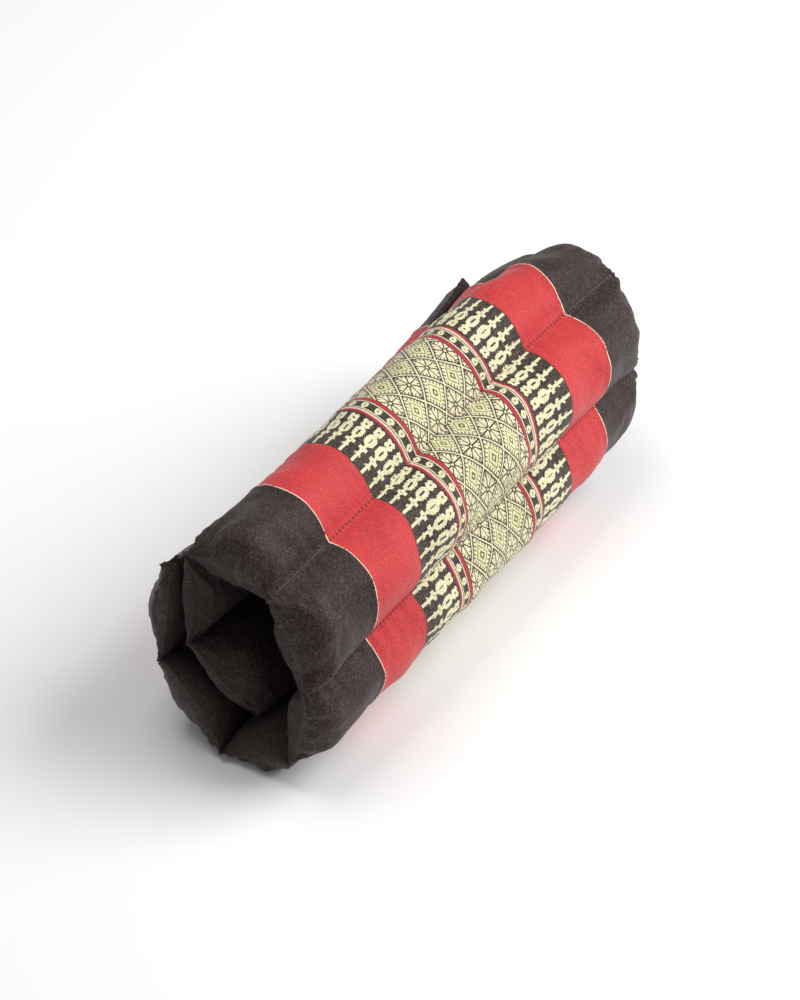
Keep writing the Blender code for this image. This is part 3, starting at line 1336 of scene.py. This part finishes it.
    def end_moves(self, stations: np.ndarray, arcs: np.ndarray) -> np.ndarray:
        """Gives how far the sewn ends bow in between their corners and stick out at them.

        Args:
            stations: The grid's stations.
            arcs: The distance of each column along the mat.

        Returns:
            A move along X for each point of the grid.
        """
        place = self.channel_place(arcs)
        share = place - np.floor(place)
        bow = 4 * share * (1 - share)
        from_end = self.rim_distances(stations)[:, None]
        pulled = -self.rim_bow * bow[None, :] * np.exp(-from_end / self.rim_bow_reach)
        near = (stations > 0)[:, None]
        lines = arcs[self.seam_columns()][:, None]
        spots = np.exp(-((arcs[None, :] - lines) / self.tuft_width) ** 2)
        tufts = np.where(near, np.array(self.near_tufts), np.array(self.far_tufts)) @ spots
        out = self.tuft_length * tufts * np.exp(-from_end / self.tuft_width)
        from_edge = np.minimum(arcs - arcs[0], arcs[-1] - arcs)[None, :]
        corner = np.exp(-(from_edge / np.where(near, self.near_corner_round, self.far_corner_round)) ** 2)
        pull = np.where(near, self.near_corner_pull, self.far_corner_pull)
        rounding = pull * corner * np.exp(-from_end / self.corner_reach)
        return (pulled + out - rounding) * np.sign(stations)[:, None]

    def channel_place(self, arcs: np.ndarray) -> np.ndarray:
        """Gives each column's place, counted in channels from the outer free edge."""
        return np.interp(arcs, arcs[self.seam_columns()], np.arange(len(self.shape.seams)))

    def fold(self, fold: FoldRow, s: np.ndarray, arcs: np.ndarray) -> np.ndarray:
        """Gives one soft fold.

        Args:
            fold: The fold's row.
            s: The stations, as a column.
            arcs: The distance of each column along the mat.

        Returns:
            Its height at each point of the grid.
        """
        columns = self.seam_columns()
        start, stop = arcs[columns[fold.channel]], arcs[columns[fold.channel + 1]]
        from_end = self.shape.half - s * fold.end.value
        centre = start + (stop - start) * fold.share + fold.lean * from_end
        spread = fold.width * (self.fold_root_width + self.fold_widening * from_end / fold.reach)
        shape = np.exp(-((arcs[None, :] - centre) / spread) ** 2)
        return shape * fold.height * np.exp(-(from_end / fold.reach) ** 2)

    def hold_down(self, stations: np.ndarray, arcs: np.ndarray, side: Side) -> np.ndarray:
        """Gives the share of the relief kept where the cloth lies against another layer or an edge.

        Args:
            stations: The grid's stations.
            arcs: The distance of each column along the mat.
            side: Which face of the mat.

        Returns:
            A share for each point of the grid.
        """
        place = self.channel_place(arcs)
        if side is Side.OUTER:
            covered = (place > self.outer_covered_from).astype(float)
        else:
            covered = ((place < self.inner_covered_to) | (place > self.inner_covered_from)).astype(float)
        share = 1 - (1 - self.covered_share) * covered
        edge = np.minimum(1, np.minimum(arcs - arcs[0], arcs[-1] - arcs) / self.edge_calm_reach)
        edge = np.maximum(edge, self.least_edge_share)
        ends = np.clip(self.rim_distances(stations) / self.rim_calm_reach, self.least_rim_share, 1)
        return share[None, :] * edge[None, :] * ends[:, None]

    def faces_of(self, side: Side) -> tuple[np.ndarray, np.ndarray]:
        """Gives one dressed face of the mat.

        Args:
            side: Which face.

        Returns:
            Its grid of points, and how far along the mat each column lies.
        """
        stations = self.stations()
        outer, inner = self.shape.surfaces(stations, self.shares())
        grid = outer if side is Side.OUTER else inner
        arcs = self.arc_lengths(outer)
        height = self.relief(stations, arcs, side) * self.hold_down(stations, arcs, side)
        if side is Side.OUTER:
            from_piping = (np.abs(stations) - self.piping_place)[:, None]
            height -= self.groove_depth * np.exp(-(from_piping / self.groove_width) ** 2)
        else:
            height *= self.inner_share
        grid = grid + grid_normals(grid, side) * height[:, :, None]
        grid[:, :, 0] += self.end_moves(stations, arcs)
        if side in self.moves:
            moves = refined(self.moves[side], grid.shape[0], grid.shape[1])
            grid += moves * self.hold_down(stations, arcs, side)[:, :, None]
        lowest = 0.0 if side is Side.OUTER else self.shape.seam_thickness
        above = grid[:, :, 2] - lowest
        grid[:, :, 2] = lowest + (above + np.hypot(above, self.floor_blend)) / 2
        return grid, arcs

    def build(self, *materials: bpy.types.Material) -> bpy.types.Object:
        """Builds the cover and gives it its materials.

        Args:
            materials: The patterned cloth's material and the back cloth's material, or none.

        Returns:
            The cover.
        """
        outer, arcs = self.faces_of(Side.OUTER)
        inner, _ = self.faces_of(Side.INNER)
        stations = self.stations()
        rows, columns, _ = outer.shape
        count = rows * columns
        points = np.concatenate([outer.reshape(-1, 3), inner.reshape(-1, 3)])
        numbers = np.arange(count).reshape(rows, columns)
        a, b = numbers[:-1, :-1], numbers[1:, :-1]
        c, d = numbers[1:, 1:], numbers[:-1, 1:]
        front_faces = np.stack([a, b, c, d], -1).reshape(-1, 4)
        back_faces = np.stack([a, d, c, b], -1).reshape(-1, 4) + count
        rim = np.concatenate([numbers[0, :], numbers[1:, -1], numbers[-1, -2::-1], numbers[-2:0:-1, 0]])
        follow = np.roll(rim, -1)
        rim_faces = np.stack([rim, follow, follow + count, rim + count], -1)
        faces = np.concatenate([front_faces, back_faces, rim_faces])
        cover = new_object("mat_cover", points, faces)
        mesh = cover.data
        along = np.tile(np.broadcast_to(arcs, (rows, columns)).reshape(-1), 2)
        across = np.tile(np.repeat(stations, columns), 2)
        from_middle = self.rim_distances(np.zeros(1)) - self.rim_distances(stations)
        over_cloth = np.tile(np.repeat(np.sign(stations) * from_middle, columns), 2)
        corners = np.array([loop.vertex_index for loop in mesh.loops])
        layer = mesh.uv_layers.new(name=CLOTH_UV)
        layer.data.foreach_set("uv", np.column_stack([along[corners], over_cloth[corners]]).ravel())
        from_seam = np.tile(np.broadcast_to(self.to_seam(arcs), (rows, columns)).reshape(-1), 2)
        layer = mesh.uv_layers.new(name=SEAM_UV)
        layer.data.foreach_set("uv", np.column_stack([from_seam[corners], across[corners]]).ravel())
        for material in materials:
            mesh.materials.append(material)
        slots = np.ones(len(faces), dtype=np.int32)
        slots[:len(front_faces)] = 0
        mesh.polygons.foreach_set("material_index", slots)
        mesh.update()
        return cover


@dataclass
class ClothSettle:
    """A cloth simulation on a coarse copy of the cover, held where it is sewn, filled by pressure.

    The cloth is cut a little larger than the form it covers, so it swells and wrinkles between its
    sewn lines. The moves found are handed to the fine cover, limited in length.
    """

    cover: MatCover
    station_count: int = 100
    channel_steps: int = 12
    excess: float = 0.022
    pressure: float = 4.0
    vertex_mass: float = 0.02
    tension: float = 20.0
    bending: float = 0.02
    quality: int = 5
    last_frame: int = 12
    limit: float = 0.0035
    middle_part: float = 0.35
    end_part_reach: float = 0.045

    def run(self) -> None:
        """Simulates the coarse copy and stores its moves in the fine cover."""
        coarse = MatCover(self.cover.shape, self.station_count, self.channel_steps)
        cloth = coarse.build()
        rows, columns = len(coarse.stations()), len(coarse.shape.seams) * self.channel_steps
        columns -= self.channel_steps - 1
        self.hold(cloth, coarse, rows, columns)
        self.add_modifier(cloth)
        before = self.places(cloth.data)
        scene = bpy.context.scene
        for frame_number in range(1, self.last_frame + 1):
            scene.frame_set(frame_number)
        settled = cloth.evaluated_get(bpy.context.evaluated_depsgraph_get())
        moves = (self.places(settled.data) - before).reshape(2, rows, columns, 3)
        bpy.data.objects.remove(cloth, do_unlink=True)
        scene.frame_set(1)
        length = np.linalg.norm(moves, axis=3, keepdims=True)
        LOG.info("cloth moves: mean %.2f mm, greatest %.2f mm", length.mean() * 1000, length.max() * 1000)
        moves *= np.tanh(length / self.limit) * self.limit / np.maximum(length, 1e-9)
        from_rim = coarse.rim_distances(coarse.stations())
        part = self.middle_part + (1 - self.middle_part) * np.exp(-from_rim / self.end_part_reach)
        moves *= part[None, :, None, None]
        self.cover.moves = {Side.OUTER: moves[0], Side.INNER: moves[1]}

    @staticmethod
    def places(mesh: bpy.types.Mesh) -> np.ndarray:
        """Gives a mesh's points, one after another.

        Args:
            mesh: The mesh.

        Returns:
            Their X, Y and Z in one row.
        """
        flat = np.empty(len(mesh.vertices) * 3)
        mesh.vertices.foreach_get("co", flat)
        return flat

    @staticmethod
    def hold(cloth: bpy.types.Object, coarse: MatCover, rows: int, columns: int) -> None:
        """Marks the points that the stitching holds still.

        Args:
            cloth: The coarse copy.
            coarse: The cover it was built from.
            rows: Its rows of points.
            columns: Its columns of points.
        """
        held = np.zeros((rows, columns), dtype=bool)
        held[:, coarse.seam_columns()] = True
        held[[0, -1], :] = True
        numbers = np.flatnonzero(np.tile(held.reshape(-1), 2))
        group = cloth.vertex_groups.new(name="held")
        group.add([int(number) for number in numbers], 1.0, "REPLACE")

    def add_modifier(self, cloth: bpy.types.Object) -> None:
        """Adds the cloth modifier with its settings.

        Args:
            cloth: The coarse copy.
        """
        modifier = cloth.modifiers.new("settle", "CLOTH")
        settings = modifier.settings
        settings.quality = self.quality
        settings.mass = self.vertex_mass
        settings.tension_stiffness = self.tension
        settings.compression_stiffness = self.tension
        settings.shear_stiffness = self.tension / 2
        settings.bending_stiffness = self.bending
        settings.shrink_min = -self.excess
        settings.use_pressure = True
        settings.uniform_pressure_force = self.pressure
        settings.vertex_group_mass = "held"
        settings.effector_weights.gravity = 0.0
        modifier.collision_settings.use_collision = False
        modifier.collision_settings.use_self_collision = False
        modifier.point_cache.frame_start = 1
        modifier.point_cache.frame_end = self.last_frame


@dataclass
class Piping:
    """The two narrow cream strips sewn in between the woven middle and the plain ends."""

    cover: MatCover
    width: float = 0.0030
    height: float = 0.0013
    lift_share: float = 0.45
    floor_gap: float = 0.0001
    sides: int = 8

    def build_one(self, name: str, place: float, material: bpy.types.Material) -> bpy.types.Object:
        """Builds one strip.

        Args:
            name: The strip's name.
            place: Its distance from the mat's middle line.
            material: Its material.

        Returns:
            The strip.
        """
        grid, _ = self.cover.faces_of(Side.OUTER)
        stations = self.cover.stations()
        normals = grid_normals(grid, Side.OUTER)
        columns = grid.shape[1]
        line = np.empty((columns, 3))
        out = np.empty((columns, 3))
        offset = self.width / 2
        ahead = np.empty((columns, 3))
        for column in range(columns):
            for axis in range(3):
                line[column, axis] = np.interp(place, stations, grid[:, column, axis])
                out[column, axis] = np.interp(place, stations, normals[:, column, axis])
                near = np.interp(place + offset, stations, grid[:, column, axis])
                far = np.interp(place - offset, stations, grid[:, column, axis])
                ahead[column, axis] = near - far
        ahead /= np.linalg.norm(ahead, axis=1)[:, None]
        out /= np.linalg.norm(out, axis=1)[:, None]
        line = line + out * self.height * self.lift_share
        rings = []
        for step in range(self.sides):
            turn = math.tau * step / self.sides
            across, up = math.cos(turn) * self.width / 2, math.sin(turn) * self.height / 2
            rings.append(line + ahead * across + out * up)
        ring = np.stack(rings, 1)
        ring[:, :, 2] = np.maximum(ring[:, :, 2], self.floor_gap)
        faces = []
        for column in range(columns - 1):
            base = column * self.sides
            above = base + self.sides
            for step in range(self.sides):
                follow = (step + 1) % self.sides
                faces.append((base + step, above + step, above + follow, base + follow))
        faces.append(tuple(range(self.sides)))
        faces.append(tuple(reversed(range((columns - 1) * self.sides, columns * self.sides))))
        strip = new_object(name, ring.reshape(-1, 3), faces)
        strip.data.materials.append(material)
        return strip

    def build(self, material: bpy.types.Material) -> dict[str, bpy.types.Object]:
        """Builds both strips.

        Args:
            material: Their material.

        Returns:
            Each strip, by the node it stands for.
        """
        place = self.cover.piping_place
        return {
            "piping_near": self.build_one("piping_near_strip", place, material),
            "piping_far": self.build_one("piping_far_strip", -place, material),
        }


@dataclass
class StitchRows:
    """The visible stitches along each sewn channel line."""

    cover: MatCover
    pitch: float = STITCH_PITCH / 1000
    length: float = 0.0029
    radius: float = 0.00075
    lift: float = 0.0009
    seat: float = 0.6
    end_sink: float = 0.8
    look_ahead: float = 0.002
    sides: int = 6
    rings: tuple[tuple[float, float], ...] = (
        (-0.5, 0.35),
        (-0.32, 0.9),
        (0.0, 1.0),
        (0.32, 0.9),
        (0.5, 0.35),
    )

    def build(self, pale: bpy.types.Material, dark: bpy.types.Material) -> bpy.types.Object:
        """Builds every stitch as one joined mesh.

        Args:
            pale: The thread's material on the plain cloth, lighter than on the patterned cloth: painted
                sheen.
            dark: The thread's material on the patterned cloth.

        Returns:
            The stitches.
        """
        points: list[np.ndarray] = []
        faces: list[tuple[int, ...]] = []
        on_pattern: list[int] = []
        stations = self.cover.stations()
        start = STITCH_START / 1000
        places = np.arange(-start, start, self.pitch)
        for side in Side:
            grid, _ = self.cover.faces_of(side)
            normals = grid_normals(grid, side)
            for column in self.cover.seam_columns()[1:-1]:
                line, out = grid[:, column], normals[:, column]
                for place in places:
                    centre = self.between_rows(place, stations, line)
                    up = self.between_rows(place, stations, out)
                    ahead = self.between_rows(place + self.look_ahead, stations, line)
                    self.add_stitch(points, faces, centre, up, ahead - centre)
                    patterned = side is Side.OUTER and abs(place) < self.cover.piping_place
                    on_pattern.append(int(patterned))
        stitches = new_object("channel_stitches", np.concatenate(points), faces)
        stitches.data.materials.append(pale)
        stitches.data.materials.append(dark)
        each = self.sides * (len(self.rings) - 1) + 2
        slots = np.repeat(np.array(on_pattern, dtype=np.int32), each)
        stitches.data.polygons.foreach_set("material_index", slots)
        return stitches

    @staticmethod
    def between_rows(place: float, stations: np.ndarray, rows: np.ndarray) -> np.ndarray:
        """Gives the point or direction at a station between those of a line of rows."""
        return np.array([np.interp(place, stations, rows[:, axis]) for axis in range(3)])

    def add_stitch(self, points: list[np.ndarray], faces: list[tuple[int, ...]], centre: np.ndarray,
                   up: np.ndarray, ahead: np.ndarray) -> None:
        """Adds one stitch.

        Args:
            points: The point rows so far.
            faces: The faces so far.
            centre: The stitch's place on the cloth.
            up: The way off the cloth.
            ahead: The way along the seam.
        """
        ahead = ahead / np.linalg.norm(ahead)
        up = up - ahead * np.dot(up, ahead)
        up = up / np.linalg.norm(up)
        aside = np.cross(ahead, up)
        start = sum(len(row) for row in points)
        rows = []
        for place, size in self.rings:
            bow = self.lift - abs(place) * 2 * (self.lift + self.radius * self.end_sink)
            middle = centre + ahead * place * self.length + up * (bow + self.radius * self.seat)
            for step in range(self.sides):
                turn = math.tau * step / self.sides
                rows.append(middle + (aside * math.cos(turn) + up * math.sin(turn)) * self.radius * size)
        points.append(np.array(rows))
        for ring in range(len(self.rings) - 1):
            base = start + ring * self.sides
            above = base + self.sides
            for step in range(self.sides):
                follow = (step + 1) % self.sides
                faces.append((base + step, base + follow, above + follow, above + step))
        faces.append(tuple(start + step for step in reversed(range(self.sides))))
        top = start + (len(self.rings) - 1) * self.sides
        faces.append(tuple(top + step for step in range(self.sides)))


@dataclass(frozen=True)
class PhotoView:
    """The photograph's viewing place, for a picture of 800 by 1000."""

    azimuth: float = 123.05
    elevation: float = 40.4
    distance: float = 3.674
    lens: float = 161.1
    sensor_width: float = 36.0
    nearest: float = 0.1
    farthest: float = 30.0
    target: tuple[float, float, float] = (0.0346, 0.0113, 0.1151)

    def place(self) -> bpy.types.Object:
        """Makes the camera.

        Returns:
            The camera.
        """
        data = bpy.data.cameras.new("photo_camera")
        data.lens = self.lens
        data.sensor_width = self.sensor_width
        data.clip_start = self.nearest
        data.clip_end = self.farthest
        camera = bpy.data.objects.new("photo_camera", data)
        bpy.context.scene.collection.objects.link(camera)
        turn, rise = math.radians(self.azimuth), math.radians(self.elevation)
        back = Vector((math.sin(turn) * math.cos(rise), -math.cos(turn) * math.cos(rise), math.sin(rise)))
        camera.location = Vector(self.target) + back * self.distance
        camera.rotation_euler = back.to_track_quat("Z", "Y").to_euler()
        bpy.context.scene.camera = camera
        return camera


@dataclass(frozen=True)
class LampRow:
    """A square soft lamp: where it hangs, its side and its power in watts."""

    name: str
    place: tuple[float, float, float]
    size: float
    power: float


@dataclass
class Studio:
    """A plain pale floor with soft, even light."""

    floor_size: float = 12.0
    floor_drop: float = 0.0004
    floor_colour: tuple[float, float, float] = (0.90, 0.90, 0.90)
    floor_roughness: float = 0.9
    air_colour: tuple[float, float, float] = (1.0, 1.0, 1.0)
    air_strength: float = 0.30
    lit_point: tuple[float, float, float] = (0.0, 0.0, 0.1)
    lamps: tuple[LampRow, ...] = (
        LampRow("key_lamp", (-1.3, 1.7, 2.1), 2.0, 92.0),
        LampRow("side_lamp", (0.1, -0.7, 2.7), 1.5, 26.0),
    )

    def floor(self) -> bpy.types.Object:
        """Makes the floor.

        Returns:
            The floor.
        """
        half = self.floor_size / 2
        corners = np.array([(-half, -half, 0), (half, -half, 0), (half, half, 0), (-half, half, 0)])
        corners[:, 2] = -self.floor_drop
        floor = new_object("studio_floor", corners, [(0, 1, 2, 3)])
        material = bpy.data.materials.new("pale_floor")
        material.use_nodes = True
        shader = material.node_tree.nodes["Principled BSDF"]
        shader.inputs["Base Color"].default_value = (*self.floor_colour, 1.0)
        shader.inputs["Roughness"].default_value = self.floor_roughness
        floor.data.materials.append(material)
        return floor

    def lamp(self, row: LampRow) -> bpy.types.Object:
        """Makes one soft lamp that faces the roll.

        Args:
            row: The lamp's row.

        Returns:
            The lamp.
        """
        data = bpy.data.lights.new(row.name, "AREA")
        data.size = row.size
        data.energy = row.power
        lamp = bpy.data.objects.new(row.name, data)
        bpy.context.scene.collection.objects.link(lamp)
        lamp.location = row.place
        back = Vector(row.place) - Vector(self.lit_point)
        lamp.rotation_euler = back.to_track_quat("Z", "Y").to_euler()
        return lamp

    def build(self) -> None:
        """Makes the floor, the lamps and the even light of the room."""
        self.floor()
        world = bpy.data.worlds.new("soft_room")
        world.use_nodes = True
        background = world.node_tree.nodes["Background"]
        background.inputs[0].default_value = (*self.air_colour, 1.0)
        background.inputs[1].default_value = self.air_strength
        bpy.context.scene.world = world
        bpy.context.scene.view_settings.view_transform = "Standard"
        for row in self.lamps:
            self.lamp(row)


def main() -> None:
    """Builds each sub-assembly in order and reports it."""
    logging.basicConfig(level=logging.INFO, format="%(name)s: %(message)s")
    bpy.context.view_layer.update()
    colours = ClothColours()
    PhotoView().place()
    Studio().build()
    cover = MatCover(RollShape())
    ClothSettle(cover).run()
    mat = cover.build(CoverFinish().make(), BackFinish().make())
    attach(mat, ROOT)
    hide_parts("mat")
    LOG.info("cover: %d faces", len(mat.data.polygons))
    tape = PlainFinish("cream_piping", colours, colours.piping).make()
    for node, strip in Piping(cover).build(tape).items():
        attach(strip, ROOT)
        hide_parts(node)
        LOG.info("%s: %d faces", node, len(strip.data.polygons))
    # The stitches on the plain cloth get a lighter thread colour, which is painted sheen on the stitches.
    pale = PlainFinish("sheen_painted_thread", colours, colours.sheen_painted_thread, 0.6).make()
    dark = PlainFinish("dark_thread", colours, colours.dark_thread, 0.7).make()
    stitches = StitchRows(cover).build(pale, dark)
    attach(stitches, ROOT)
    LOG.info("stitches: %d faces", len(stitches.data.polygons))


if __name__ == "__main__":
    main()
